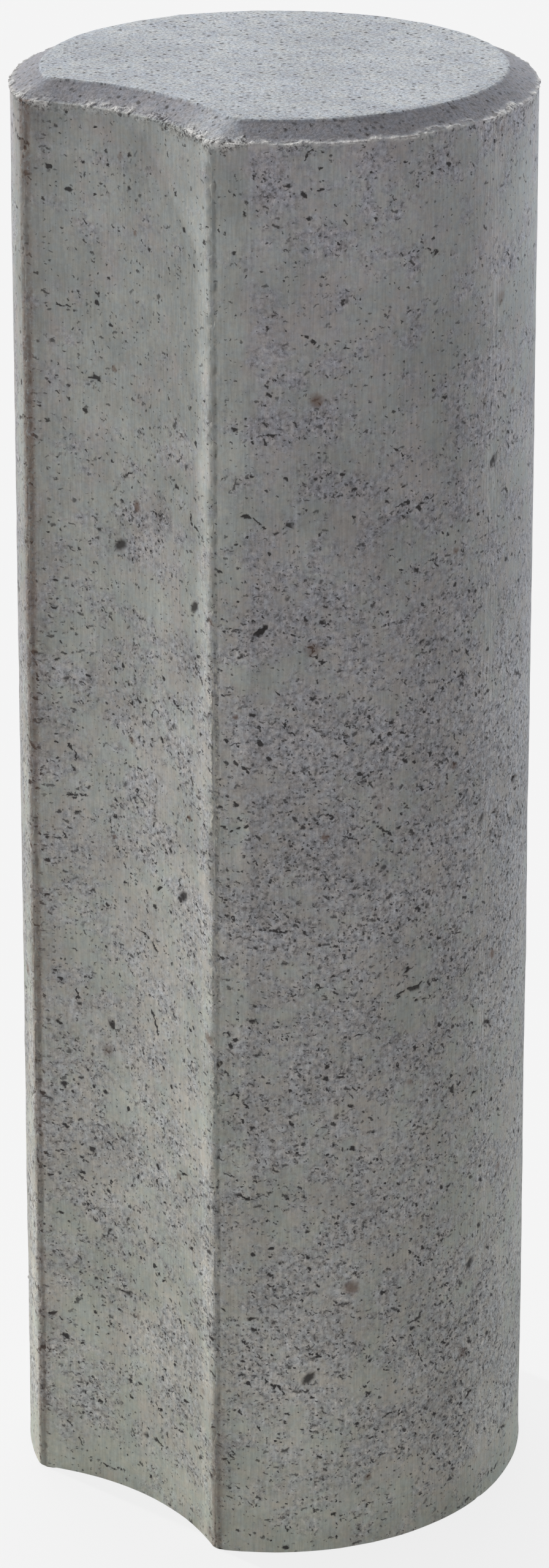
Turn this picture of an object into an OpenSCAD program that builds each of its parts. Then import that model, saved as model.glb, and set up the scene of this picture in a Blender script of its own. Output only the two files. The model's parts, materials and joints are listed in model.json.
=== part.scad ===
// Round concrete palisade with a nesting groove.
// Blocks like this stand side by side as an edging or a low wall. The round back of each one
// sits in the groove of the next, so that a row can follow a curve without open joints.
// Origin: centre of the round body, on the base. +Z is up, and the groove faces -Y.

/* [Block] */
// Diameter of the round body
body_d = 140; // [100:1:250]
// Height from the base to the top face
height = 400; // [200:5:1200]

/* [Top chamfer] */
// How far the chamfer sets the top edge in
chamfer_in = 8.5; // [3:0.5:15]
// How far the chamfer runs down the side
chamfer_down = 4.5; // [2:0.5:15]

/* [Groove] */
// Depth of the groove, from the body's full circle to the groove's floor
groove_depth = 16.5; // [8:0.5:25]
// Gap between the groove and the round back that nests in it
groove_play = 1; // [0:0.5:3]
// How far the two edges of the groove are cut back to a narrow flat
lip_cut = 0.6; // [0.2:0.1:1.5]

/* [Hidden] */
$fn = 180;

// How far a cutter runs past the faces it cuts
over = 5;

body_r = body_d / 2;
// The round back of a like block, with its play, shapes the groove
groove_r = body_r + groove_play;
// The groove's axis lies in front of the body's axis by this much
groove_dist = body_r - groove_depth + groove_r;
chamfer_z = height - chamfer_down;

// How far in front of the body's axis a circle round it meets a circle round the groove's axis
function lip_dist(inner_r, outer_r) =
    (inner_r * inner_r - outer_r * outer_r + groove_dist * groove_dist) / (2 * groove_dist);

// The flat on the groove's edges, on the side and at the top of the chamfer
lip_low = lip_dist(body_r, groove_r) - lip_cut;
lip_top = lip_dist(body_r - chamfer_in, groove_r + chamfer_in) - lip_cut;

// Round body with the chamfer round its top
module round_body() {
    rotate_extrude()
        polygon([
            [0, 0],
            [body_r, 0],
            [body_r, chamfer_z],
            [body_r - chamfer_in, height],
            [0, height]
        ]);
}

// Cutter for the groove, with the same chamfer along its top edge
module groove_cut() {
    flare = chamfer_in * (chamfer_down + over) / chamfer_down;
    translate([0, -groove_dist, -over])
        cylinder(h = height + 2 * over, r = groove_r);
    translate([0, -groove_dist, chamfer_z])
        cylinder(h = chamfer_down + over, r1 = groove_r, r2 = groove_r + flare);
}

// Cutter for the flats on the groove's two edges, sloped to follow the chamfer
module lip_flats() {
    translate([-body_r, 0, 0])
        rotate([90, 0, 90])
            linear_extrude(height = body_d)
                polygon([
                    [-body_d, -over],
                    [-lip_low, -over],
                    [-lip_low, chamfer_z],
                    [-lip_top, height],
                    [-lip_top, height + over],
                    [-body_d, height + over]
                ]);
}

module palisade_block() {
    color([0.47, 0.46, 0.455])
        difference() {
            round_body();
            groove_cut();
            lip_flats();
        }
}

palisade_block();
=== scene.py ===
"""Palisade block: the looks of a round cast-concrete palisade with a concave groove down one side.

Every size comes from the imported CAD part. One closed mesh, with the relief of the cast surface,
stands for the CAD solid. Units are metres, +Z is up and the groove faces -Y.
"""

import itertools
import json
import math
from types import SimpleNamespace

import bmesh
import bpy
import numpy as np
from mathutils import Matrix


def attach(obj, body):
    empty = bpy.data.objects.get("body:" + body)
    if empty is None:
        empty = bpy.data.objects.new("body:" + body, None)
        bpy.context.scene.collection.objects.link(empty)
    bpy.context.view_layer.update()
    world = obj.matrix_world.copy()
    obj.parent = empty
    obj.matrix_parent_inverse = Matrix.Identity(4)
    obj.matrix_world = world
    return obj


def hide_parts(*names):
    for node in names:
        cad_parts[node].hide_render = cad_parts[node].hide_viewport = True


NODE = "palisade_block"
MM = 0.001

# Camera: its place round the block, and the lens that gives the photograph's viewing angle
CAMERA_AZIMUTH = math.radians(41.8)
CAMERA_PITCH = math.radians(16.27)
CAMERA_DISTANCE = 1.2306
CAMERA_HEIGHT = 0.6945
CAMERA_LENS = 110.5
CAMERA_SHIFT_Y = -0.31
NEAREST_SEEN = 0.05
FARTHEST_SEEN = 50.0

# Light: a crisp low key from the left, a broad soft lamp behind it, a wide fill towards the
# groove and a weak cool rim from behind. For each lamp: from where it shines, how strongly, how
# many degrees wide and in what colour. The surround is dimmer overhead than at the horizon.
WHITE = (1.0, 1.0, 1.0)
LAMPS = {
    "key": ((-0.873, -0.043, 0.485), 2.2, 1.8, WHITE),
    "back": ((-0.60, 0.50, 0.62), 1.8, 50.0, WHITE),
    "fill": ((-0.64, -0.76, 0.10), 1.42, 100.0, (0.985, 1.0, 0.972)),
    "rim": ((0.08, 1.0, 0.03), 2.3, 14.0, (0.84, 0.92, 1.0)),
}
HORIZON_STRENGTH = 1.02
OVERHEAD_STRENGTH = 0.14
DIMMEST_RISE = 0.8
SURROUND_COLOR = (0.975, 0.962, 1.0)
FLOOR_COLOR = (0.42, 0.42, 0.42, 1.0)
FLOOR_PALENESS = 0.82
FLOOR_SIZE = 14.0

# Mesh: the widest cell, the narrowest as a share of it, how often a cell is halved where the
# relief is finer, and how far from each edge that is
CELL = 3.1 * MM
BODY_COLUMNS = 120
LIP_COLUMNS = 2
GROOVE_COLUMNS = 20
NARROWEST_CELL = 0.55
HALVINGS = 3
SHARP_ANGLE = math.radians(20.0)
BESIDE_CHAMFER_EDGE = 4.0 * MM
AT_CHAMFER_EDGE = 1.6 * MM
BELOW_TOP = 1.2 * MM
BESIDE_TOP_EDGE = 1.8 * MM
BESIDE_LIPS = 2.4 * MM
BESIDE_BASE = 1.2 * MM
BESIDE_PORES = 0.3 * MM

# How far from an edge the relief's direction turns, and how gradually
TURN_REACH = 1.5 * MM
TURN_STEPS = 60

# Relief of the cast surface, all inwards from the CAD surface
SKIN_RECESS = 0.30 * MM
WAVE_DEPTH = 0.22 * MM
LUMP_DEPTH = 0.22 * MM
BURR_WIDTH = 0.75 * MM
NOTCH_DEPTH = 0.3 * MM
EDGE_WEAR = 0.35 * MM
CHIP_DEPTH = 0.7 * MM
SEAM_ANGLE = math.radians(6.0)
SEAM_DEPTH = 0.25 * MM

# How far up a normal points where a flat end begins, and where it has wholly begun
LEAST_UP = 0.75
WHOLLY_UP = 0.95

# Pores cut into the mesh: those that lie alone, and the rows of narrow ones
PORE_COUNT = 80
SMALLEST_PORE = 0.5 * MM
LARGEST_PORE = 0.9 * MM
PORE_RARITY = 3.0
PORES_LOW_DOWN = 2.2
CHAIN_COUNT = 55
CHAINS_LOW_DOWN = 1.8
LONGEST_CHAIN = 5
LINK_OVERLAP = 1.7
END_MARGIN = 8 * MM

# Seeds of the relief's noises, one for each, so that no two look alike
ZONE_SEED = 11
WAVE_SEED = 21
LUMP_SEED = 22
BURR_WANDER_SEED = 41
BURR_LUMP_SEED = 42
BURR_STRENGTH_SEED = 43
CRUMBLE_SEED = 45
NOTCH_SEED = 46
WEAR_SEED = 51
CHIP_SEED = 52
TOP_WEAR_SEED = 53
ARRIS_SEED = 56
PAINTED_SHADE_SEED = 57
WALL_SEED = 58
SEAM_SEED = 61
PORE_EDGE_SEED = 71
PORE_SWELL_SEED = 72
RUST_AND_SHADE_SEED = 81

# How light the concrete is, as factors on its colours, mostly painted light and shade, and how
# much of the chamfer's darkness is lost beside the near lip, as painted light there
BODY_TONE = 0.90
BODY_RISE = 0.52
BODY_FOOT_RISE = 0.17
BODY_TOP_RISE = 0.13
BESIDE_LIP_FALL = 0.15
PALE_FOOT_ANGLE = math.radians(35.0)
WALL_TONE = 0.97
WALL_FOOT_GAIN = 1.42
WALL_MIDDLE_RISE = 0.15
WALL_FAR_FALL = 0.12
NEAR_STRIP_TONE = 1.07
WALL_MOTTLE = 0.18
# Painted shade at the groove's top: how much the band and the smudge darken the wall
PAINTED_SHADE_FALL = 0.10
PAINTED_SMUDGE_FALL = 0.17
LIP_TONE = 0.78
CUSP_FADE = 0.55

# Colours of the dry concrete, and of the painted shade in pits, pores and notches
FILM_WARM = (0.345, 0.333, 0.314)
FILM_GREEN = (0.322, 0.335, 0.312)
BARE_SAND = (0.322, 0.319, 0.324)
TOP_COOL = (0.354, 0.376, 0.408)
TOP_WARM = (0.360, 0.376, 0.386)
CHAMFER_COLOR = (0.226, 0.226, 0.243)
HIGH_TINT = (1.012, 1.000, 1.045)
LOW_TINT = (0.996, 1.000, 0.920)
BLUISH = (0.975, 1.000, 1.030)
REDDISH = (1.025, 1.000, 0.975)
PIT_SHADE_COLOR = (0.034, 0.031, 0.031)
PORE_SHADE_COLOR = (0.040, 0.036, 0.035)
BURR_COLOR = (0.60, 0.59, 0.57)
ARRIS_COLOR = (0.50, 0.48, 0.41)
RUST_AND_SHADE_COLOR = (0.135, 0.080, 0.056)

# How strongly those colours show where their marks are whole
PIT_STRENGTH = 0.96
PORE_STRENGTH = 0.93
BURR_STRENGTH = 0.95
CRUMB_STRENGTH = 0.6
ARRIS_STRENGTH = 0.7
DENT_STRENGTH = 0.7
RUST_AND_SHADE_STRENGTH = 0.74
BROWN_STRENGTH = 0.30
STREAK_STRENGTH = 0.5

# The darkest and the lightest that each noise makes the concrete, as factors
CLOUD_RANGE = (0.90, 1.10)
TOP_HUE_RANGE = (0.95, 1.05)
DRAG_RANGE = (0.91, 1.08)
MOTTLE_RANGE = (0.66, 1.30)
GRAIN_RANGE = (0.66, 1.32)
LIGHT_SPECK_RANGE = (1.0, 1.24)

# The surface: its relief's shares of BUMP_HEIGHT, its roughness and its reflection
BUMP_HEIGHT = 1.0 * MM
SAND_BUMP = 0.42
EDGE_BUMP = 0.7
TOP_BUMP = 0.22
DRAG_BUMP = 0.05
ROUGHNESS_RANGE = (0.82, 0.96)
SPECULAR = 0.25

# Noises in the material, in bumps to the metre, from wide to fine
CLOUD_SCALE = 36.0
HUE_SCALE = 80.0
FILM_SCALE = 85.0
TOP_HUE_SCALE = 130.0
CLUSTER_SCALE = 170.0
BEND_SCALE = 260.0
GRAIN_HUE_SCALE = 420.0
MOTTLE_SCALE = 700.0
SPECKLE_SCALE = 800.0
RAGGED_SCALE = 1050.0
LIGHT_SPECK_SCALE = 1200.0
GRAIN_SCALE = 1250.0
SANDY_SCALE = 1300.0
DRAG_SCALE = 1700.0

# How far those noises move the outlines of strokes
RAGGED_REACH = 1.5 * MM
TORN_REACH = 1.6 * MM
BEND_REACH = 5.0 * MM
SANDY_REACH = 0.8 * MM

# Strokes in the material, on the side laid flat at one radius: how far apart they are, half of
# their length and half of their width. They lean by up to half of STROKE_LEAN, in radians.
UNROLL_RADIUS = 68 * MM
SPECKS = (1.3 * MM, 0.10 * MM, 0.20 * MM)
STROKES = (2.5 * MM, 0.65 * MM, 0.21 * MM)
HOLES = (4.3 * MM, 0.35 * MM, 0.33 * MM)
TEARS = (10.5 * MM, 3.4 * MM, 0.30 * MM)
SAND_PITS = (2.1 * MM, 0.15 * MM, 0.32 * MM)
BROWN_SPOTS = (42.0 * MM, 0.2 * MM, 1.1 * MM)
STROKE_LEAN = 2.4

# How likely a cell is to hold a stroke, on plain film and where the film is broken
SPECK_CHANCE = (0.32, 0.88)
STROKE_CHANCE = (0.22, 0.70)
TEAR_CHANCE = (0.16, 0.60)
SAND_PIT_CHANCE = 0.6
BROWN_SPOT_CHANCE = 0.7

RANDOM = np.random.default_rng(7)

# Noise: its origin is far off, so that no cell has a negative number
NOISE_ORIGIN = 1000.0
LAYER_SEED = 31
LAYER_SPREAD = 1.6


# ---------------- noise


def cell_value(cells, seed):
    """A repeatable random number from 0 to 1 for each whole-number cell."""
    c = cells.astype(np.uint32)
    mixed = c[:, 0] * np.uint32(374761393) + c[:, 1] * np.uint32(668265263)
    mixed = mixed + c[:, 2] * np.uint32(2246822519) + np.uint32(seed * 7919 + 13)
    mixed = (mixed ^ (mixed >> np.uint32(15))) * np.uint32(2246822519)
    mixed = (mixed ^ (mixed >> np.uint32(13))) * np.uint32(3266489917)
    mixed = mixed ^ (mixed >> np.uint32(16))
    return (mixed & np.uint32(0xFFFFFF)) / float(0xFFFFFF)


def noise(points, size, seed):
    """Smooth noise from 0 to 1. size is the width of one bump, the same or one for each axis."""
    scaled = points / np.asarray(size) + NOISE_ORIGIN
    base = np.floor(scaled).astype(np.int64)
    t = scaled - base
    t = t * t * (3.0 - 2.0 * t)
    total = np.zeros(len(points))
    for corner in itertools.product((0, 1), repeat=3):
        weight = np.prod(np.where(np.array(corner) == 1, t, 1.0 - t), axis=1)
        total += weight * cell_value(base + np.array(corner), seed)
    return total


def layered_noise(points, size, seed, layers=3):
    """Several noises, each half as wide and as strong as the one before. Spreads over 0 to 1."""
    total = np.zeros(len(points))
    strength = 1.0
    whole = 0.0
    for layer in range(layers):
        total += strength * noise(points, np.asarray(size) / 2**layer, seed + LAYER_SEED * layer)
        whole += strength
        strength *= 0.5
    return np.clip((total / whole - 0.5) * LAYER_SPREAD + 0.5, 0.0, 1.0)


def ramp(values, low, high):
    """0 at or below low, 1 at or above high, and smooth between them. low may be the larger."""
    t = np.clip((values - low) / (high - low), 0.0, 1.0)
    return t * t * (3.0 - 2.0 * t)


def bell(values, width):
    """1 where a value is 0, falling smoothly to almost 0 at two widths from it."""
    return np.exp(-((values / width) ** 2))


# ---------------- sizes from the CAD part


def read_sizes(frame):
    """The block's sizes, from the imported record's mounts and the CAD mesh."""
    mounts = {mount["name"]: mount for mount in frame["record"]["mounts"]}
    node = frame["nodes"][NODE]
    corners = np.array([tuple(vertex.co) for vertex in node.data.vertices])
    height = mounts["top"]["pos_m"][2]
    top = corners[corners[:, 2] > height - 0.01 * MM]
    groove_radius = mounts["groove"]["dims"]["r_mm"] * MM
    body_radius = mounts["round_back"]["dims"]["r_mm"] * MM
    top_radius = float(np.hypot(top[:, 0], top[:, 1]).max())
    return SimpleNamespace(
        height=height,
        chamfer_z=mounts["round_back"]["dims"]["length_mm"] * MM,
        body_radius=body_radius,
        top_radius=top_radius,
        groove_radius=groove_radius,
        top_groove_radius=groove_radius + body_radius - top_radius,
        groove_distance=groove_radius - mounts["groove"]["pos_m"][1],
        lip=-float(corners[:, 1].min()),
        top_lip=-float(top[:, 1].min()),
    )


# ---------------- the block's mesh


def section_at(sizes, share):
    """The radius of the body and of the groove, and how far in front of the middle the lips are.

    share is 0 on the side and 1 at the top edge, here and in outline.
    """
    body = sizes.body_radius + share * (sizes.top_radius - sizes.body_radius)
    groove = sizes.top_groove_radius - sizes.groove_radius
    groove = sizes.groove_radius + share * groove
    lip = sizes.lip + share * (sizes.top_lip - sizes.lip)
    return body, groove, lip


def outline(sizes, share):
    """Points round the block, counter-clockwise."""
    body, groove, lip = section_at(sizes, share)
    axis = sizes.groove_distance
    body_half = math.acos(lip / body)
    groove_half = math.acos((axis - lip) / groove)
    outer = body * math.sin(body_half)
    inner = groove * math.sin(groove_half)

    start = body_half - math.pi / 2
    end = 1.5 * math.pi - body_half
    angles = np.linspace(start, end, BODY_COLUMNS, endpoint=False)
    round_back = np.stack([body * np.cos(angles), body * np.sin(angles)], axis=1)

    steps = np.linspace(outer, inner, LIP_COLUMNS, endpoint=False)
    left_lip = np.stack([-steps, np.full(LIP_COLUMNS, -lip)], axis=1)

    angles = np.linspace(-groove_half, groove_half, GROOVE_COLUMNS, endpoint=False)
    hollow = np.stack([groove * np.sin(angles), groove * np.cos(angles) - axis], axis=1)

    steps = np.linspace(inner, outer, LIP_COLUMNS, endpoint=False)
    right_lip = np.stack([steps, np.full(LIP_COLUMNS, -lip)], axis=1)
    return np.concatenate([round_back, left_lip, hollow, right_lip])


def ring_at(points, z):
    """A closed ring of points at one height."""
    return np.column_stack([points, np.full(len(points), z)])


def cap_rings(edge, z):
    """Rings from an edge to the middle of a flat end. Columns halve as the rings shrink."""
    reach = float(np.hypot(edge[:, 0], edge[:, 1]).max())
    count = int(round(reach / CELL))
    rings = []
    points = edge
    for step in range(1, count):
        share = 1.0 - step / count
        if share < NARROWEST_CELL * len(points) / len(edge) and len(points) % 2 == 0:
            points = points[::2]
        rings.append(ring_at(points * share, z))
    return rings


def join_rings(mesh, lower, upper):
    """Faces between two rings of vertices, with as many columns or half as many above."""
    count = len(lower)
    if len(upper) == count:
        for column in range(count):
            after = (column + 1) % count
            mesh.faces.new((lower[column], lower[after], upper[after], upper[column]))
        return
    for column in range(len(upper)):
        after = (column + 1) % len(upper)
        first = lower[2 * column]
        middle = lower[2 * column + 1]
        last = lower[(2 * column + 2) % count]
        mesh.faces.new((first, middle, upper[column]))
        mesh.faces.new((middle, upper[after], upper[column]))
        mesh.faces.new((middle, last, upper[after]))


def close_end(mesh, ring, z):
    """A fan of faces from the smallest ring to the middle."""
    middle = mesh.verts.new((0.0, 0.0, z))
    for column in range(len(ring)):
        mesh.faces.new((ring[column], ring[(column + 1) % len(ring)], middle))


def plain_block(sizes):
    """The CAD shape as one closed mesh of even cells."""
    mesh = bmesh.new()
    side_rows = int(round(sizes.chamfer_z / CELL))
    rise = sizes.height - sizes.chamfer_z
    run = sizes.body_radius - sizes.top_radius
    chamfer_rows = int(round(math.hypot(rise, run) / CELL))
    side = outline(sizes, 0.0)
    top = outline(sizes, 1.0)

    levels = [ring_at(side, sizes.chamfer_z * row / side_rows) for row in range(side_rows + 1)]
    for row in range(1, chamfer_rows + 1):
        share = row / chamfer_rows
        levels.append(ring_at(outline(sizes, share), sizes.chamfer_z + rise * share))

    rings = [[mesh.verts.new(point) for point in level] for level in levels]
    for lower, upper in zip(rings, rings[1:]):
        join_rings(mesh, lower, upper)
    for edge, points, z in ((rings[-1], top, sizes.height), (rings[0], side, 0.0)):
        last = edge
        for level in cap_rings(points, z):
            ring = [mesh.verts.new(point) for point in level]
            join_rings(mesh, last, ring)
            last = ring
        close_end(mesh, last, z)
    bmesh.ops.recalc_face_normals(mesh, faces=mesh.faces)
    return mesh


# ---------------- where things are on the block


def distance_to_lips(points, sizes):
    """How far each point lies from the nearest arris of the groove at its height."""
    share = (points[:, 2] - sizes.chamfer_z) / (sizes.height - sizes.chamfer_z)
    body, groove, lip = section_at(sizes, np.clip(share, 0.0, 1.0))
    outer = np.sqrt(body**2 - lip**2)
    inner = np.sqrt(groove**2 - (sizes.groove_distance - lip) ** 2)
    across = np.abs(points[:, 0])
    in_front = points[:, 1] + lip
    return np.minimum(np.hypot(across - outer, in_front), np.hypot(across - inner, in_front))


def groove_angle(points, sizes):
    """The angle round the groove's axis, 0 at its middle and positive towards +X."""
    return np.arctan2(points[:, 0], points[:, 1] + sizes.groove_distance)


def in_groove(points, sizes):
    """True on the hollow wall of the groove."""
    away = np.hypot(points[:, 0], points[:, 1] + sizes.groove_distance)
    return (away < sizes.top_groove_radius + 0.2 * MM) & (points[:, 1] < 0.0)


def distance_to_seam(points, sizes):
    """How far each point lies round the body from the nearer of the mould's two seams."""
    angle = np.arctan2(points[:, 1], points[:, 0])
    right = np.abs(angle - SEAM_ANGLE)
    left = np.abs(np.abs(angle) - (math.pi - SEAM_ANGLE))
    return np.minimum(right, left) * sizes.body_radius


def rough_zones(points, sizes):
    """How broken the cement film is, from 0 to 1: more low down, and less in the groove."""
    zones = layered_noise(points, (26 * MM, 26 * MM, 18 * MM), ZONE_SEED)
    lower = ramp(points[:, 2], sizes.chamfer_z, 0.55 * sizes.chamfer_z)
    near_base = ramp(points[:, 2], 26 * MM, 6 * MM)
    near_edge = ramp(sizes.chamfer_z - points[:, 2], 13 * MM, 3 * MM)
    groove = in_groove(points, sizes)
    smoother = np.where(groove, 0.16 + 0.20 * (1.0 - lower), 0.0)
    rough = 0.25 + 0.35 * lower + 0.5 * (zones - 0.5)
    return np.clip(rough + 0.3 * near_edge * ~groove - smoother - 0.35 * near_base, 0.0, 1.0)


# ---------------- pores


def place_on_side(sizes, count, lower_share):
    """Random places on the side. lower_share above 1 puts more of them low down."""
    side = outline(sizes, 0.0)
    steps = np.hypot(*(np.roll(side, -1, axis=0) - side).T)
    places = RANDOM.choice(len(side), size=count, p=steps / steps.sum())
    part = RANDOM.random(count)[:, None]
    flat = side[places] * (1 - part) + side[(places + 1) % len(side)] * part
    rise = 1.0 - RANDOM.random(count) ** (1.0 / lower_share)
    height = END_MARGIN + (sizes.chamfer_z - 2 * END_MARGIN) * rise
    return np.column_stack([flat, height])


def single_pores(sizes):
    """Air pores that lie alone."""
    share = RANDOM.random(PORE_COUNT) ** PORE_RARITY
    radius = SMALLEST_PORE + (LARGEST_PORE - SMALLEST_PORE) * share
    return {
        "middle": place_on_side(sizes, PORE_COUNT, PORES_LOW_DOWN),
        "radius": radius,
        "width": RANDOM.uniform(1.0, 2.1, PORE_COUNT),
        "tilt": RANDOM.uniform(-0.6, 0.6, PORE_COUNT),
        "depth": radius * RANDOM.uniform(0.8, 1.3, PORE_COUNT),
    }


def pore_chains(sizes):
    """Wandering tears: narrow pores in rows, each starting where the one before ends."""
    links = {"middle": [], "radius": [], "width": [], "tilt": [], "depth": []}
    for start in place_on_side(sizes, CHAIN_COUNT, CHAINS_LOW_DOWN):
        tangent = np.array([-start[1], start[0], 0.0]) / math.hypot(start[0], start[1])
        slope = RANDOM.uniform(-0.5, 0.5)
        place = start
        for _ in range(RANDOM.integers(2, LONGEST_CHAIN + 1)):
            radius = RANDOM.uniform(0.28, 0.46) * MM
            width = RANDOM.uniform(2.0, 3.4)
            tilt = slope + RANDOM.uniform(-0.7, 0.7)
            links["middle"].append(place)
            links["radius"].append(radius)
            links["width"].append(width)
            links["tilt"].append(tilt)
            links["depth"].append(radius * RANDOM.uniform(0.9, 1.6))
            onward = tangent + np.array([0.0, 0.0, tilt])
            place = place + LINK_OVERLAP * radius * width * onward
    return {key: np.array(values) for key, values in links.items()}


def all_pores(sizes):
    """The pores that are cut into the mesh. Finer ones are in the material."""
    single = single_pores(sizes)
    chains = pore_chains(sizes)
    return {key: np.concatenate([single[key], chains[key]]) for key in single}


def pore_depth(points, pores):
    """How deep the pores cut at each point, and how much of a pore each point lies in."""
    depth = np.zeros(len(points))
    inside = np.zeros(len(points))
    ragged = noise(points, 0.8 * MM, PORE_EDGE_SEED) - 0.5
    ragged = ragged + 0.9 * (noise(points, 2.1 * MM, PORE_SWELL_SEED) - 0.5)
    for middle, radius, width, tilt, deep in zip(*(pores[key] for key in pores)):
        near = np.flatnonzero(np.abs(points[:, 2] - middle[2]) < 3.0 * radius)
        away = points[near] - middle
        across = np.hypot(away[:, 0], away[:, 1])
        near = near[across < 4.0 * radius * width]
        away = points[near] - middle
        tangent = np.array([-middle[1], middle[0]]) / math.hypot(middle[0], middle[1])
        along = away[:, :2] @ tangent
        up = away[:, 2] - tilt * along
        reach = np.hypot(along / width, up) / radius + 1.3 * ragged[near]
        amount = ramp(reach, 1.10, 0.60)
        depth[near] = np.maximum(depth[near], deep * amount)
        inside[near] = np.maximum(inside[near], amount)
    return depth, inside


# ---------------- relief


def wanted_halvings(points, sizes, pores):
    """How often a face at each point is halved: never on plain film, most at pores and edges."""
    to_chamfer = np.abs(points[:, 2] - sizes.chamfer_z)
    to_top = sizes.height - points[:, 2]
    rim = np.abs(np.hypot(points[:, 0], points[:, 1]) - sizes.top_radius)
    rim = np.where(in_groove(points, sizes), 0.0, rim)
    at_top_edge = (to_top < BELOW_TOP) & (rim < BESIDE_TOP_EDGE)
    zones = (
        (to_chamfer < BESIDE_CHAMFER_EDGE, 2),
        (to_chamfer < AT_CHAMFER_EDGE, HALVINGS),
        (at_top_edge, 2),
        (distance_to_lips(points, sizes) < BESIDE_LIPS, 2),
        (np.abs(points[:, 2]) < BESIDE_BASE, 1),
    )
    halvings = np.zeros(len(points), dtype=int)
    for zone, count in zones:
        halvings[zone] = np.maximum(halvings[zone], count)
    for middle, radius, width in zip(pores["middle"], pores["radius"], pores["width"]):
        near = np.flatnonzero(np.abs(points[:, 2] - middle[2]) < 1.6 * radius + BESIDE_PORES)
        across = np.hypot(*(points[near, :2] - middle[:2]).T)
        near = near[across < 1.2 * radius * width + BESIDE_PORES]
        halvings[near] = HALVINGS
    return halvings


def refine(mesh, sizes, pores):
    """Halves the cells, again and again, where the relief is fine."""
    for halving in range(1, HALVINGS + 1):
        faces = list(mesh.faces)
        centres = np.array([tuple(face.calc_center_median()) for face in faces])
        wanted = wanted_halvings(centres, sizes, pores)
        edges = set()
        for face, level in zip(faces, wanted):
            if level >= halving:
                edges.update(face.edges)
        bmesh.ops.subdivide_edges(mesh, edges=list(edges), cuts=1, use_grid_fill=True)
    bmesh.ops.triangulate(mesh, faces=[face for face in mesh.faces if len(face.verts) > 4])


def edge_burr(points, sizes):
    """The ragged flash along the chamfer's lower edge: how proud it stands, and its crumbs."""
    above = points[:, 2] - sizes.chamfer_z
    along = points * np.array([1.0, 1.0, 0.0])
    rougher = np.where(in_groove(points, sizes), 1.0, 0.0)
    wander = layered_noise(along, 6 * MM, BURR_WANDER_SEED) - 0.5
    wander = wander * (1.3 + 0.9 * rougher) * MM
    lumps = layered_noise(points, (1.5 * MM, 1.5 * MM, 0.9 * MM), BURR_LUMP_SEED, layers=2)
    strength = ramp(layered_noise(along, 11 * MM, BURR_STRENGTH_SEED), 0.12, 0.42)
    spread = BURR_WIDTH * (0.8 + 0.9 * rougher)
    ridge = bell(above - wander, spread) * strength * (0.3 + 0.7 * ramp(lumps, 0.36, 0.62))

    patches = ramp(layered_noise(along, 9 * MM, CRUMBLE_SEED, layers=2), 0.30, 0.62)
    below = ramp(above - wander, -3.2 * MM, -1.0 * MM)
    below = below * ramp(above - wander, 0.1 * MM, -0.6 * MM)
    around = bell(above - 1.3 * wander + 0.2 * MM, 1.5 * MM)
    crumbly = np.maximum(patches, ramp(groove_angle(points, sizes), 0.05, 0.25))
    in_the_groove = around * (0.45 + 0.75 * crumbly)
    crumbs = np.where(rougher > 0.5, in_the_groove, 0.75 * below * patches)
    return ridge, np.clip(crumbs, 0.0, 1.0)


def edge_chips(points, sizes):
    """Wear and small chips along the arrises of the groove, and wear at the top's edge."""
    to_lips = distance_to_lips(points, sizes)
    uneven = 0.2 + 0.8 * layered_noise(points, 2.4 * MM, WEAR_SEED, layers=2)
    worn = ramp(to_lips, 0.7 * MM, 0.0) * uneven
    chips = ramp(layered_noise(points, 3.2 * MM, CHIP_SEED), 0.54, 0.74)
    chipped = ramp(to_lips, 1.6 * MM, 0.2 * MM) * chips
    to_top = sizes.height - points[:, 2]
    rim = np.abs(np.hypot(points[:, 0], points[:, 1]) - sizes.top_radius)
    top_worn = ramp(to_top, 0.8 * MM, 0.0) * ramp(rim, 1.2 * MM, 0.0)
    return worn, chipped, top_worn * (0.3 + 0.7 * noise(points, 4 * MM, TOP_WEAR_SEED))


def faces_of_block(points, normals, sizes):
    """How much each point belongs to the top, the chamfer and the two flat ends."""
    on_top = ramp(points[:, 2], sizes.height - 0.3 * MM, sizes.height - 0.1 * MM)
    on_top = on_top * ramp(normals[:, 2], LEAST_UP, WHOLLY_UP)
    on_base = ramp(-normals[:, 2], LEAST_UP, WHOLLY_UP)
    above = points[:, 2] - sizes.chamfer_z
    on_chamfer = ramp(above, 0.1 * MM, 0.7 * MM) * (1.0 - on_top)
    return on_top, on_chamfer, np.maximum(on_top, on_base)


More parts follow.
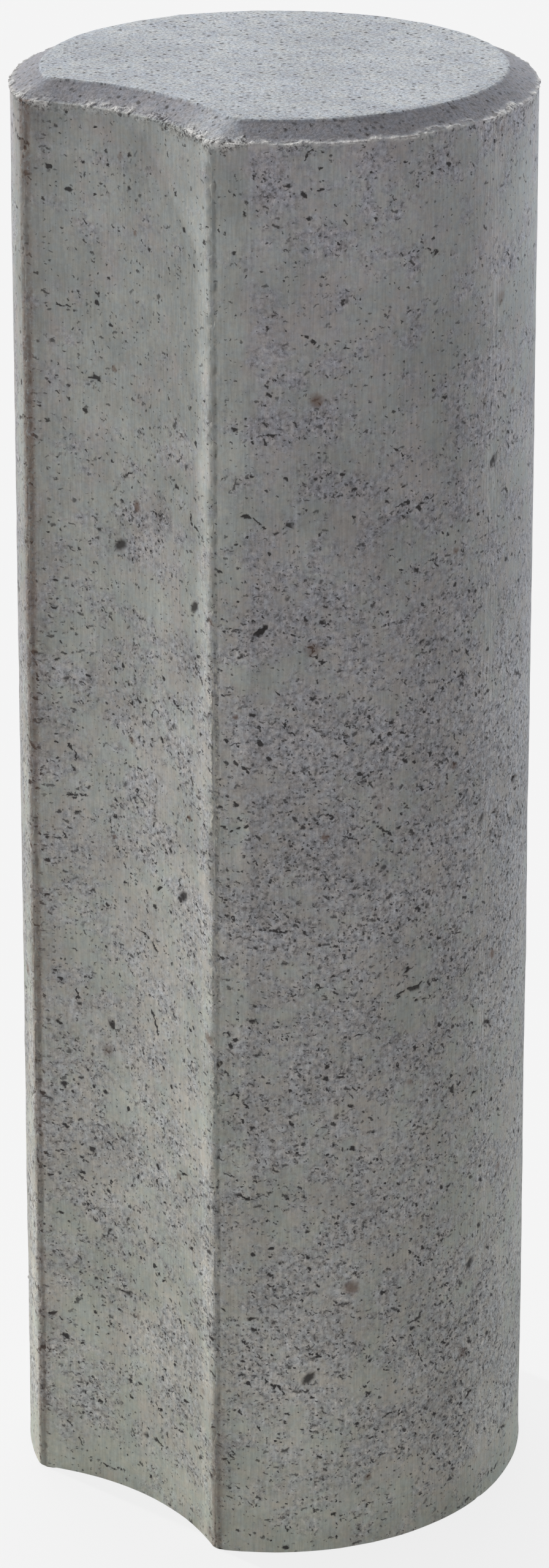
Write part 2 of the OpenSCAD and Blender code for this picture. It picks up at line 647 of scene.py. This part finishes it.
def cast_relief(points, normals, sizes, pores):
    """How far each point moves inwards, and the marks that the material reads."""
    rough = rough_zones(points, sizes)
    on_top, on_chamfer, flat = faces_of_block(points, normals, sizes)
    side = (1.0 - flat) * (1.0 - on_chamfer)

    waves = layered_noise(points, 38 * MM, WAVE_SEED, layers=2)
    lumps = layered_noise(points, 5.5 * MM, LUMP_SEED)
    depth = SKIN_RECESS * (1.0 - flat) + WAVE_DEPTH * waves * (1.0 - 0.6 * flat)
    depth += LUMP_DEPTH * lumps * (0.25 + 0.75 * rough * side)

    ridge, crumbs = edge_burr(points, sizes)
    depth -= np.minimum(depth, (SKIN_RECESS + WAVE_DEPTH) * 1.2) * ridge * (1.0 - flat)
    depth += NOTCH_DEPTH * crumbs * (1.0 - flat) * noise(points, 1.1 * MM, NOTCH_SEED)

    worn, chipped, top_worn = edge_chips(points, sizes)
    worn = worn * (1.0 - 0.7 * on_chamfer)
    depth += EDGE_WEAR * worn + CHIP_DEPTH * chipped * side + EDGE_WEAR * top_worn

    to_seam = distance_to_seam(points, sizes)
    seam_holes = ramp(noise(points, (2 * MM, 2 * MM, 4 * MM), SEAM_SEED), 0.45, 0.75)
    seam_holes = seam_holes * ramp(to_seam, 1.4 * MM, 0.2 * MM) * side
    depth += SEAM_DEPTH * seam_holes

    pore, inside = pore_depth(points, pores)
    depth += pore * side

    patches = arris_patches(points)
    arris = ramp(distance_to_lips(points, sizes), 1.0 * MM, 0.1 * MM)
    low = low_down(points, sizes)
    return depth, {
        "rough": rough * side,
        # Pores and notches: masks that the material darkens as painted shade
        "pore": inside * side,
        "notch": np.clip(crumbs * (1.0 - flat) + 0.6 * seam_holes, 0.0, 1.0),
        "burr": np.clip(ridge, 0.0, 1.0) * (1.0 - flat),
        "arris": arris * side * patches,
        "brown": beside_groove(points, sizes) * side * patches,
        "chamfer": on_chamfer * (1.0 - flat),
        # The chamfer's darker colour, faded by the near lip inside the groove as painted light
        # where the lamp falls
        "chamfer_dark_painted_lit_cusp": on_chamfer * (1.0 - flat) * (1.0 - CUSP_FADE * near_cusp(points, sizes)),
        "top": on_top,
        "rust_and_shade": rust_stain_and_shade(points, sizes) * side,
        "seam": ramp(to_seam, 3.0 * MM, 0.0) * side,
        # Painted light and shade on the side, as a factor on its colours
        "tone_with_painted_light": 1.0 + (tone_with_painted_light(points, sizes) - 1.0) * side,
        "low": np.where(in_groove(points, sizes), 0.2 + 0.8 * low, low),
    }


def low_down(points, sizes):
    """0 at the chamfer's lower edge and above it, and 1 at the base."""
    return np.clip(1.0 - points[:, 2] / sizes.chamfer_z, 0.0, 1.0)


def body_tone(points, sizes):
    """How light the round body is: painted light pales its foot, most on the side facing the
    light; also paler at its top edge and darker by the near lip.
    """
    low = low_down(points, sizes)
    # Painted light: the foot is paler on the side that faces towards PALE_FOOT_ANGLE
    away = np.arctan2(points[:, 0], -points[:, 1]) - PALE_FOOT_ANGLE
    facing = 0.3 + 0.7 * np.maximum(np.cos(away), 0.0)
    rise = (BODY_RISE * low**1.5 + BODY_FOOT_RISE * ramp(low, 0.76, 0.93)) * facing
    body = BODY_TONE * (1.0 + rise) + BODY_TOP_RISE * ramp(low, 0.21, 0.04)
    beside = ramp(distance_to_lips(points, sizes), 22.0 * MM, 3.0 * MM) * (points[:, 0] > 0)
    return body * (1.0 - BESIDE_LIP_FALL * beside * ramp(low, 0.25, 0.6))


def wall_tone(points, sizes):
    """Painted light and shade on the groove's wall: paler low down and towards the near lip,
    darker by the far lip, with a paler strip beside the near lip; and mottle.
    """
    low = low_down(points, sizes)
    angle = groove_angle(points, sizes)
    middle = ramp(low, 0.25, 0.42) * (0.35 + 0.65 * ramp(low, 0.95, 0.72))
    wall = WALL_TONE * WALL_FOOT_GAIN**low
    # Painted light and shade: paler towards the near lip at mid-height, darker by the far lip high
    # up
    wall = wall * (1.0 + WALL_MIDDLE_RISE * ramp(angle, -0.22, 0.12) * middle)
    wall = wall * (1.0 - WALL_FAR_FALL * ramp(angle, -0.26, -0.40) * (1.0 - low))
    # Painted light: a paler strip beside the near lip, where the key lamp falls
    beside = ramp(distance_to_lips(points, sizes), 7.5 * MM, 5.0 * MM) * (points[:, 0] > 0)
    wall = wall + beside * (NEAR_STRIP_TONE + 0.02 * low - wall)
    mottle = layered_noise(points, 8 * MM, WALL_SEED, layers=2) - 0.5
    return wall * wall_painted_shade(points, sizes) * (1.0 + WALL_MOTTLE * mottle)


def wall_painted_shade(points, sizes):
    """Painted shade at the groove's top: a darker band with a slanting lower edge, and a smudge in
    it.
    """
    angle = groove_angle(points, sizes)
    below = sizes.chamfer_z - points[:, 2]
    wobble = 5.0 * MM * (layered_noise(points, 9 * MM, PAINTED_SHADE_SEED) - 0.5)
    edge = 10.0 * MM + 24.0 * MM * np.clip(angle, 0.0, 0.45) + wobble
    band = ramp(below, edge + 1.0 * MM, edge - 1.5 * MM)
    smudge = bell(angle - 0.04, 0.075) * bell(below - 9.0 * MM - wobble, 7.0 * MM)
    return (1.0 - PAINTED_SHADE_FALL * band) * (1.0 - PAINTED_SMUDGE_FALL * smudge)


def tone_with_painted_light(points, sizes):
    """How light the concrete is, as a factor on its colours: painted light and shade by place."""
    wall = wall_tone(points, sizes)
    light = np.where(in_groove(points, sizes), wall, body_tone(points, sizes))
    on_lip = points[:, 1] < -sizes.lip + 0.05 * MM
    return np.where(on_lip, LIP_TONE + 0.04 * low_down(points, sizes), light)


def arris_patches(points):
    """How much the arrises show their cream crumbs: in patches, and more low down."""
    patches = ramp(layered_noise(points, (30 * MM, 30 * MM, 22 * MM), ARRIS_SEED), 0.30, 0.70)
    return np.clip(patches * ramp(points[:, 2], 0.40, 0.22) + 0.15, 0.0, 1.0)


def near_cusp(points, sizes):
    """1 inside the groove by its near lip, falling to 0 a third of the way across."""
    return ramp(groove_angle(points, sizes), 0.12, 0.34) * in_groove(points, sizes)


def beside_groove(points, sizes):
    """1 on the round body beside the groove's lips, falling to 0 within a few millimetres."""
    outside = points[:, 1] > -sizes.lip + 0.02 * MM
    outside = outside & ~in_groove(points, sizes)
    return ramp(distance_to_lips(points, sizes), 5.0 * MM, 0.3 * MM) * outside


def rust_stain_and_shade(points, sizes):
    """Brown staining and painted shade inside the groove's far lip, and a little staining at the
    foot of the near one.
    """
    to_lips = distance_to_lips(points, sizes)
    inside = in_groove(points, sizes) & (points[:, 0] < 0)
    # The far lip's line and haze: brown stain and painted shade together
    line = ramp(to_lips, 1.9 * MM, 0.6 * MM)
    haze = 0.3 * ramp(to_lips, 7.0 * MM, 1.0 * MM)
    far = np.maximum(line, haze) * inside * (1.0 - 0.55 * low_down(points, sizes))
    near = ramp(to_lips, 2.6 * MM, 0.3 * MM) * (points[:, 0] > 0)
    foot = near * ramp(points[:, 2], 70 * MM, 10 * MM)
    patchy = 0.35 + 0.65 * layered_noise(points, (8 * MM, 8 * MM, 26 * MM), RUST_AND_SHADE_SEED)
    return np.clip((1.2 * far + 0.8 * foot) * patchy, 0.0, 1.0)


def turning_normals(data, points, normals, sizes):
    """Normals that turn gradually across the edges, so that the relief doesn't fold over there."""
    edges = np.empty(len(data.edges) * 2, dtype=np.int32)
    data.edges.foreach_get("vertices", edges)
    first, second = edges.reshape(-1, 2).T
    near = distance_to_lips(points, sizes) < TURN_REACH
    near = near | (np.abs(points[:, 2] - sizes.chamfer_z) < TURN_REACH)
    for _ in range(TURN_STEPS):
        total = normals.copy()
        for axis in range(3):
            total[:, axis] += np.bincount(first, normals[second, axis], len(points))
            total[:, axis] += np.bincount(second, normals[first, axis], len(points))
        total /= np.linalg.norm(total, axis=1)[:, None]
        normals = np.where(near[:, None], total, normals)
    return normals


def vertex_vectors(data, name):
    """One vector for each vertex of a mesh: its place or its normal."""
    values = np.empty(len(data.vertices) * 3)
    data.vertices.foreach_get(name, values)
    return values.reshape(-1, 3)


def build_block(sizes):
    """The cast block: one closed mesh with its relief and its marks."""
    pores = all_pores(sizes)
    mesh = plain_block(sizes)
    refine(mesh, sizes, pores)
    data = bpy.data.meshes.new("cast_block")
    mesh.to_mesh(data)
    mesh.free()

    data.polygons.foreach_set("use_smooth", np.ones(len(data.polygons), dtype=bool))
    data.set_sharp_from_angle(angle=SHARP_ANGLE)

    points = vertex_vectors(data, "co")
    normals = vertex_vectors(data, "normal")
    depth, marks = cast_relief(points, normals, sizes, pores)
    moved = points - turning_normals(data, points, normals, sizes) * depth[:, None]
    data.vertices.foreach_set("co", moved.ravel())
    for name, values in marks.items():
        layer = data.attributes.new(name, "FLOAT", "POINT")
        layer.data.foreach_set("value", values.astype(np.float32))
    data.update()

    block = bpy.data.objects.new("cast_block", data)
    bpy.context.scene.collection.objects.link(block)
    return block


# ---------------- material


def add_node(tree, kind, inputs=None, **settings):
    """A shader node with its settings. An input is a value, or an output to link from."""
    made = tree.nodes.new(kind)
    for name, value in settings.items():
        setattr(made, name, value)
    for key, value in (inputs or {}).items():
        if isinstance(value, bpy.types.NodeSocket):
            tree.links.new(value, made.inputs[key])
        else:
            made.inputs[key].default_value = value
    return made


def math_node(tree, operation, first, second=0.0, clamp=False):
    """The result of one sum on two numbers."""
    made = add_node(tree, "ShaderNodeMath", {0: first, 1: second}, operation=operation)
    made.use_clamp = clamp
    return made.outputs[0]


def added(tree, first, second, clamp=False):
    """Two numbers added."""
    return math_node(tree, "ADD", first, second, clamp)


def times(tree, first, second, clamp=False):
    """Two numbers multiplied."""
    return math_node(tree, "MULTIPLY", first, second, clamp)


def largest(tree, first, *others):
    """The largest of some numbers."""
    for other in others:
        first = math_node(tree, "MAXIMUM", first, other)
    return first


def step_node(tree, value, low, high, lowest=0.0, highest=1.0):
    """A smooth rise from lowest to highest as value goes from low to high."""
    made = add_node(tree, "ShaderNodeMapRange", {0: value, 1: low, 2: high, 3: lowest, 4: highest})
    made.interpolation_type = "SMOOTHSTEP"
    return made.outputs[0]


def blend_node(tree, amount, first, second, how="MIX"):
    """Two colours blended by an amount from 0 to 1. A colour is three numbers or an output."""
    inputs = {0: amount, 6: first, 7: second}
    for key in (6, 7):
        if isinstance(inputs[key], tuple):
            inputs[key] = (*inputs[key], 1.0)
    return add_node(tree, "ShaderNodeMix", inputs, data_type="RGBA", blend_type=how).outputs[2]


def mark_node(tree, name):
    """One of the marks that the mesh carries."""
    return add_node(tree, "ShaderNodeAttribute", attribute_name=name).outputs["Fac"]


def stretched(tree, place, upright):
    """The place on the block with its height multiplied, for noise that is flatter or taller."""
    inputs = {"Vector": place, "Scale": (1.0, 1.0, upright)}
    return add_node(tree, "ShaderNodeMapping", inputs, vector_type="POINT").outputs[0]


def noise_node(tree, place, scale, detail=3.0, roughness=0.55):
    """Noise from 0 to 1. scale is in bumps to the metre."""
    inputs = {"Vector": place, "Scale": scale, "Detail": detail, "Roughness": roughness}
    return add_node(tree, "ShaderNodeTexNoise", inputs).outputs[0]


def jittered(tree, place, scale, reach):
    """The place, moved a little by noise, so that straight and round shapes turn ragged."""
    inputs = {"Vector": place, "Scale": scale, "Detail": 1.0}
    cloud = add_node(tree, "ShaderNodeTexNoise", inputs).outputs["Color"]
    inputs = {0: cloud, 1: (0.5, 0.5, 0.5)}
    centred = add_node(tree, "ShaderNodeVectorMath", inputs, operation="SUBTRACT").outputs[0]
    inputs = {0: centred, "Scale": reach}
    moved = add_node(tree, "ShaderNodeVectorMath", inputs, operation="SCALE").outputs[0]
    inputs = {0: place, 1: moved}
    return add_node(tree, "ShaderNodeVectorMath", inputs, operation="ADD").outputs[0]


def unrolled(tree, place):
    """The side laid flat, in metres: round the body and up. It is cut at the mould's left seam."""
    inputs = {"Vector": place, "Rotation": (0.0, 0.0, SEAM_ANGLE)}
    turned = add_node(tree, "ShaderNodeMapping", inputs).outputs[0]
    parts = add_node(tree, "ShaderNodeSeparateXYZ", {0: turned})
    angle = math_node(tree, "ARCTAN2", parts.outputs[1], parts.outputs[0])
    girth = times(tree, angle, UNROLL_RADIUS)
    return add_node(tree, "ShaderNodeCombineXYZ", {0: girth, 1: parts.outputs[2]}).outputs[0]


def strokes_node(tree, flat, stroke, chance):
    """Short dark strokes, one to a cell: 1 in a stroke, 0 between them.

    stroke is how far apart they are, half of their length and half of their width. chance is
    how likely each cell is to hold one.
    """
    spacing, length, width = stroke
    inputs = {"Vector": flat, "Scale": 1.0 / spacing}
    cells = add_node(tree, "ShaderNodeTexVoronoi", inputs, voronoi_dimensions="2D")
    draw = add_node(tree, "ShaderNodeSeparateColor", {0: cells.outputs["Color"]})
    inputs = {0: flat, 1: cells.outputs["Position"]}
    away = add_node(tree, "ShaderNodeVectorMath", inputs, operation="SUBTRACT").outputs[0]
    lean = math_node(tree, "SUBTRACT", draw.outputs[1], 0.5)
    inputs = {"Vector": away, "Angle": times(tree, lean, STROKE_LEAN)}
    local = add_node(tree, "ShaderNodeVectorRotate", inputs, rotation_type="Z_AXIS").outputs[0]
    parts = add_node(tree, "ShaderNodeSeparateXYZ", {0: local})

    along = math_node(tree, "ABSOLUTE", parts.outputs[0])
    past = math_node(tree, "SUBTRACT", along, times(tree, draw.outputs[2], length))
    past = largest(tree, past, 0.0)
    past = times(tree, past, past)
    across = times(tree, parts.outputs[1], parts.outputs[1])
    distance = math_node(tree, "SQRT", added(tree, past, across))
    swell = math_node(tree, "POWER", draw.outputs[2], 3.0)
    swell = added(tree, times(tree, swell, 1.1), 0.7)
    distance = math_node(tree, "DIVIDE", distance, times(tree, swell, width))

    shape = step_node(tree, distance, 1.55, 0.35)
    held = math_node(tree, "LESS_THAN", draw.outputs[0], chance)
    darkness = added(tree, times(tree, draw.outputs[1], 0.5), 0.5)
    return times(tree, times(tree, shape, held), darkness)


def chance_node(tree, broken, least, most):
    """How likely a mark is: least on plain film, most where the film is broken."""
    return step_node(tree, broken, 0.0, 1.0, least, most)


def tint(tree, color, amount, other, strength=1.0):
    """One colour passing into another, by an amount."""
    if strength != 1.0:
        amount = times(tree, amount, strength)
    return blend_node(tree, amount, color, other)


def shade(tree, color, light):
    """A colour made lighter or darker by a number."""
    return blend_node(tree, 1.0, color, light, "MULTIPLY")


def shade_where(tree, color, light, amount):
    """A colour made lighter or darker by a number: wholly where amount is 1, not at all at 0."""
    return shade(tree, color, math_node(tree, "POWER", light, amount))


def shared_parts(tree):
    """The places, marks and noises that more than one layer of the material reads."""
    place = add_node(tree, "ShaderNodeTexCoord").outputs["Object"]
    top = mark_node(tree, "top")
    chamfer = mark_node(tree, "chamfer")
    crown = added(tree, top, chamfer, clamp=True)
    side = math_node(tree, "SUBTRACT", 1.0, crown)
    broken = broken_film(tree, place, side)
    bareness = added(tree, times(tree, broken, 0.8), 0.2)
    upright = stretched(tree, place, 0.07)
    return SimpleNamespace(
        place=place,
        chamfer=chamfer,
        crown=crown,
        side=side,
        broken=broken,
        bareness=times(tree, bareness, side),
        **{name: mark_node(tree, name) for name in ("notch", "arris", "burr")},
        drag=noise_node(tree, upright, DRAG_SCALE, 2.0, 0.7),
        mottle=noise_node(tree, place, MOTTLE_SCALE, 3.0, 0.75),
        grain=noise_node(tree, place, GRAIN_SCALE, 2.0, 0.8),
        crumbs=noise_node(tree, place, RAGGED_SCALE, 2.0, 0.7),
        speckle=noise_node(tree, place, SPECKLE_SCALE, 3.0, 0.75),
    )


def broken_film(tree, place, side):
    """Where the cement film is broken, from 0 to 1: wide soft zones with scattered edges."""
    wide = noise_node(tree, stretched(tree, place, 1.3), FILM_SCALE, 5.0, 0.72)
    reach = added(tree, times(tree, mark_node(tree, "rough"), 0.30), wide)
    return times(tree, step_node(tree, reach, 0.52, 0.76), side)


def crown_color(tree, place):
    """The top's colour: cool and faintly warm patches, the warm ones paler."""
    patches = step_node(tree, noise_node(tree, place, TOP_HUE_SCALE, 3.0, 0.7), 0.36, 0.64)
    color = blend_node(tree, patches, TOP_COOL, TOP_WARM)
    return shade(tree, color, step_node(tree, patches, 0.0, 1.0, *TOP_HUE_RANGE))


def base_color(tree, parts):
    """The plain colours: film with faint warm and green tints, bare sand, top and chamfer."""
    place = parts.place
    hue = noise_node(tree, stretched(tree, place, 0.7), HUE_SCALE, 4.0, 0.62)
    hue = math_node(tree, "SUBTRACT", hue, times(tree, mark_node(tree, "rough"), 0.25))
    hue = step_node(tree, hue, 0.28, 0.48)
    color = blend_node(tree, hue, FILM_WARM, FILM_GREEN)
    color = tint(tree, color, parts.broken, BARE_SAND)
    low = mark_node(tree, "low")
    color = shade(tree, color, blend_node(tree, low, HIGH_TINT, LOW_TINT))
    # Painted light and shade: the concrete made paler or darker by place, from the mesh's mark
    color = shade(tree, color, mark_node(tree, "tone_with_painted_light"))

    color = blend_node(tree, parts.crown, color, crown_color(tree, place))
    # The chamfer's darker colour, paler by the near lip as painted light
    color = tint(tree, color, mark_node(tree, "chamfer_dark_painted_lit_cusp"), CHAMFER_COLOR)
    grains = step_node(tree, noise_node(tree, place, GRAIN_HUE_SCALE, 2.0, 0.6), 0.38, 0.62)
    color = shade(tree, color, blend_node(tree, grains, BLUISH, REDDISH))
    cloud = noise_node(tree, place, CLOUD_SCALE, 5.0, 0.72)
    return shade(tree, color, step_node(tree, cloud, 0.32, 0.68, *CLOUD_RANGE))


def with_grain(tree, color, parts):
    """Drag marks from the mould, mottle of the bare sand, grain of the top and light specks."""
    drag = step_node(tree, parts.drag, 0.30, 0.70, *DRAG_RANGE)
    color = shade_where(tree, color, drag, parts.side)
    mottle = step_node(tree, parts.mottle, 0.32, 0.68, *MOTTLE_RANGE)
    color = shade_where(tree, color, mottle, parts.bareness)
    grain = step_node(tree, parts.grain, 0.32, 0.68, *GRAIN_RANGE)
    depth = math_node(tree, "SUBTRACT", parts.crown, times(tree, parts.chamfer, 0.35))
    color = shade_where(tree, color, grain, depth)
    specks = noise_node(tree, parts.place, LIGHT_SPECK_SCALE, 1.0, 0.5)
    specks = step_node(tree, specks, 0.60, 0.74, *LIGHT_SPECK_RANGE)
    depth = added(tree, parts.bareness, times(tree, parts.crown, 0.5), clamp=True)
    return shade_where(tree, color, specks, depth)


def side_pits(tree, ragged, bent, parts):
    """Specks, strokes, holes and tears in the side's film, painted dark as shade: in clusters, and
    fewer high up.
    """
    place = parts.place
    broken = parts.broken
    clusters = noise_node(tree, stretched(tree, place, 1.5), CLUSTER_SCALE, 2.0, 0.6)
    clusters = step_node(tree, clusters, 0.38, 0.62, 0.30, 1.45)
    clusters = times(tree, clusters, step_node(tree, mark_node(tree, "low"), 0.2, 0.5, 0.60, 1.0))
    chance = times(tree, chance_node(tree, broken, *SPECK_CHANCE), clusters)
    specks = strokes_node(tree, ragged, SPECKS, chance)
    chance = times(tree, chance_node(tree, broken, *STROKE_CHANCE), clusters)
    strokes = strokes_node(tree, ragged, STROKES, chance)
    holes = times(tree, strokes_node(tree, ragged, HOLES, chance), 1.4, clamp=True)
    tears = strokes_node(tree, bent, TEARS, chance_node(tree, broken, *TEAR_CHANCE))
    gaps = step_node(tree, noise_node(tree, place, SPECKLE_SCALE, 1.0, 0.5), 0.40, 0.55)
    tears = times(tree, times(tree, tears, gaps), 1.5, clamp=True)
    crevices = times(tree, step_node(tree, parts.mottle, 0.42, 0.28), broken)
    pits = largest(tree, specks, strokes, holes, tears, times(tree, crevices, 0.5))
    return times(tree, pits, parts.side)


def with_pits(tree, color, ragged, bent, parts):
    """Small pits in the side's film and in the top's sand, painted dark as shade."""
    sandy = jittered(tree, parts.place, SANDY_SCALE, SANDY_REACH)
    sand_pits = strokes_node(tree, sandy, SAND_PITS, SAND_PIT_CHANCE)
    sand_pits = times(tree, sand_pits, parts.crown)
    pits = largest(tree, side_pits(tree, ragged, bent, parts), sand_pits)
    return tint(tree, color, pits, PIT_SHADE_COLOR, PIT_STRENGTH)


def with_worn_edges(tree, color, parts):
    """Painted shade in pores and notches, pale burr and crumbs, and arrises with cream specks and
    dark specks of painted shade.
    """
    notch = parts.notch
    crumbs = parts.crumbs
    speckle = parts.speckle
    # Painted shade: the pores and the notches under the burr darkened
    hollow = added(tree, mark_node(tree, "pore"), times(tree, parts.mottle, 0.6))
    hollow = step_node(tree, hollow, 0.52, 1.04)
    notched = times(tree, notch, step_node(tree, crumbs, 0.51, 0.41))
    hollow = largest(tree, hollow, notched)
    color = tint(tree, color, hollow, PORE_SHADE_COLOR, PORE_STRENGTH)

    pale = times(tree, parts.burr, step_node(tree, crumbs, 0.34, 0.50))
    color = tint(tree, color, pale, BURR_COLOR, BURR_STRENGTH)
    crumbled = times(tree, notch, step_node(tree, crumbs, 0.55, 0.66))
    color = tint(tree, color, crumbled, BURR_COLOR, CRUMB_STRENGTH)
    cream = times(tree, parts.arris, step_node(tree, speckle, 0.47, 0.60))
    color = tint(tree, color, cream, ARRIS_COLOR, ARRIS_STRENGTH)
    # Painted shade: dark dents along the arrises
    dents = times(tree, parts.arris, step_node(tree, speckle, 0.42, 0.30))
    return tint(tree, color, dents, PIT_SHADE_COLOR, DENT_STRENGTH)


def with_stains(tree, color, ragged, parts):
    """Rust and painted shade by the groove's far edge, brown spots, and pale streaks along the
    mould's seams.
    """
    drag = parts.drag
    rust_and_shade = times(tree, mark_node(tree, "rust_and_shade"), step_node(tree, parts.speckle, 0.30, 0.52))
    brown = times(tree, mark_node(tree, "brown"), step_node(tree, drag, 0.42, 0.58))
    brown = times(tree, brown, BROWN_STRENGTH)
    spots = strokes_node(tree, ragged, BROWN_SPOTS, BROWN_SPOT_CHANCE)
    stain = largest(tree, rust_and_shade, brown, times(tree, spots, parts.side))
    color = tint(tree, color, stain, RUST_AND_SHADE_COLOR, RUST_AND_SHADE_STRENGTH)
    streaks = times(tree, mark_node(tree, "seam"), step_node(tree, drag, 0.48, 0.62))
    return tint(tree, color, streaks, BURR_COLOR, STREAK_STRENGTH)


def surface_bump(tree, parts):
    """The finest relief: bare sand, crumbs at the edges, grain of the top and drag marks."""
    relief = times(tree, parts.mottle, times(tree, parts.bareness, SAND_BUMP))
    edges = added(tree, parts.arris, parts.notch)
    edges = added(tree, parts.burr, edges, clamp=True)
    layers = (
        (parts.crumbs, edges, EDGE_BUMP),
        (parts.grain, parts.crown, TOP_BUMP),
        (parts.drag, parts.side, DRAG_BUMP),
    )
    for pattern, where, share in layers:
        relief = added(tree, relief, times(tree, pattern, times(tree, where, share)))
    inputs = {"Height": relief, "Distance": BUMP_HEIGHT, "Strength": 1.0}
    return add_node(tree, "ShaderNodeBump", inputs).outputs[0]


def concrete_material():
    """Dry-cast concrete: film and bare sand, drag marks, pits, stains and worn edges."""
    material = bpy.data.materials.new("concrete")
    material.use_nodes = True
    tree = material.node_tree
    shader = tree.nodes["Principled BSDF"]
    parts = shared_parts(tree)
    flat = unrolled(tree, parts.place)
    ragged = jittered(tree, flat, RAGGED_SCALE, RAGGED_REACH)
    bent = jittered(tree, flat, BEND_SCALE, BEND_REACH)
    bent = jittered(tree, bent, RAGGED_SCALE, TORN_REACH)

    color = base_color(tree, parts)
    color = with_grain(tree, color, parts)
    color = with_pits(tree, color, ragged, bent, parts)
    color = with_worn_edges(tree, color, parts)
    color = with_stains(tree, color, ragged, parts)
    roughness = step_node(tree, parts.mottle, 0.3, 0.7, *ROUGHNESS_RANGE)

    tree.links.new(color, shader.inputs["Base Color"])
    tree.links.new(roughness, shader.inputs["Roughness"])
    tree.links.new(surface_bump(tree, parts), shader.inputs["Normal"])
    shader.inputs["Specular IOR Level"].default_value = SPECULAR
    return material


# ---------------- stage, light and camera


def seen_directly(tree):
    """1 for what the camera sees, straight or in a reflection or through glass. 0 for light."""
    path = add_node(tree, "ShaderNodeLightPath")
    seen = added(tree, path.outputs["Is Camera Ray"], path.outputs["Is Glossy Ray"])
    return added(tree, seen, path.outputs["Is Transmission Ray"], clamp=True)


def add_floor():
    """A plain pale floor. The camera sees it paler than it lights the block; shadows stay."""
    half = FLOOR_SIZE / 2
    corners = [(-half, -half, 0.0), (half, -half, 0.0), (half, half, 0.0), (-half, half, 0.0)]
    data = bpy.data.meshes.new("floor")
    data.from_pydata(corners, [], [(0, 1, 2, 3)])
    material = bpy.data.materials.new("floor")
    material.use_nodes = True
    shader = material.node_tree.nodes["Principled BSDF"]
    shader.inputs["Base Color"].default_value = FLOOR_COLOR
    shader.inputs["Roughness"].default_value = 1.0
    shader.inputs["Specular IOR Level"].default_value = 0.0
    tree = material.node_tree
    pale = add_node(tree, "ShaderNodeEmission")
    amount = times(tree, seen_directly(tree), FLOOR_PALENESS)
    inputs = {0: amount, 1: shader.outputs[0], 2: pale.outputs[0]}
    mixed = add_node(tree, "ShaderNodeMixShader", inputs)
    tree.links.new(mixed.outputs[0], tree.nodes["Material Output"].inputs["Surface"])
    data.materials.append(material)
    floor = bpy.data.objects.new("floor", data)
    bpy.context.scene.collection.objects.link(floor)
    return floor


def add_lamp(name, towards, strength, degrees, color):
    """A distant lamp. towards points from the block to the lamp."""
    data = bpy.data.lights.new(name, "SUN")
    data.energy = strength
    data.angle = math.radians(degrees)
    data.color = color
    lamp = bpy.data.objects.new(name, data)
    x, y, z = towards
    lamp.rotation_euler = (math.atan2(math.hypot(x, y), z), 0.0, math.atan2(y, x) + math.pi / 2)
    bpy.context.scene.collection.objects.link(lamp)


def add_surround():
    """Soft light, dimmer overhead. The camera and reflections see plain white."""
    world = bpy.data.worlds.new("surround")
    world.use_nodes = True
    tree = world.node_tree
    background = tree.nodes["Background"]
    seen = seen_directly(tree)
    towards = add_node(tree, "ShaderNodeTexCoord").outputs["Generated"]
    rise = add_node(tree, "ShaderNodeSeparateXYZ", {0: towards}).outputs[2]
    dome = step_node(tree, rise, 0.0, DIMMEST_RISE, HORIZON_STRENGTH, OVERHEAD_STRENGTH)
    strength = add_node(tree, "ShaderNodeMapRange", {0: seen, 3: dome, 4: 1.0})
    tree.links.new(strength.outputs[0], background.inputs["Strength"])
    light = blend_node(tree, seen, SURROUND_COLOR, WHITE)
    tree.links.new(light, background.inputs["Color"])
    bpy.context.scene.world = world


def add_camera():
    """The camera at the photograph's viewing angle."""
    data = bpy.data.cameras.new("camera")
    data.lens = CAMERA_LENS
    data.shift_y = CAMERA_SHIFT_Y
    data.clip_start = NEAREST_SEEN
    data.clip_end = FARTHEST_SEEN
    camera = bpy.data.objects.new("camera", data)
    camera.location = (
        CAMERA_DISTANCE * math.sin(CAMERA_AZIMUTH),
        -CAMERA_DISTANCE * math.cos(CAMERA_AZIMUTH),
        CAMERA_HEIGHT,
    )
    camera.rotation_euler = (math.pi / 2 - CAMERA_PITCH, 0.0, CAMERA_AZIMUTH)
    bpy.context.scene.collection.objects.link(camera)
    bpy.context.scene.camera = camera


# ---------------- the scene

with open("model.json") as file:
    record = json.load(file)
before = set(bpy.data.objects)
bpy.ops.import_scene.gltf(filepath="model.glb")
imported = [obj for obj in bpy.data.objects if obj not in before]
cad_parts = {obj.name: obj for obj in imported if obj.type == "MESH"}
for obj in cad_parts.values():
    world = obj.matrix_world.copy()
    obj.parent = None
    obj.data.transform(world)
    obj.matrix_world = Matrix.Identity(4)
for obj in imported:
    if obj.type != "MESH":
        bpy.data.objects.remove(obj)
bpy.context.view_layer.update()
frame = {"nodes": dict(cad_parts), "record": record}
bpy.context.scene.view_settings.view_transform = "Standard"

block_sizes = read_sizes(frame)
add_camera()
add_surround()
for lamp_name, lamp in LAMPS.items():
    add_lamp(lamp_name, *lamp)
add_floor()

block = build_block(block_sizes)
block.data.materials.append(concrete_material())
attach(block, "root")
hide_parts(NODE)
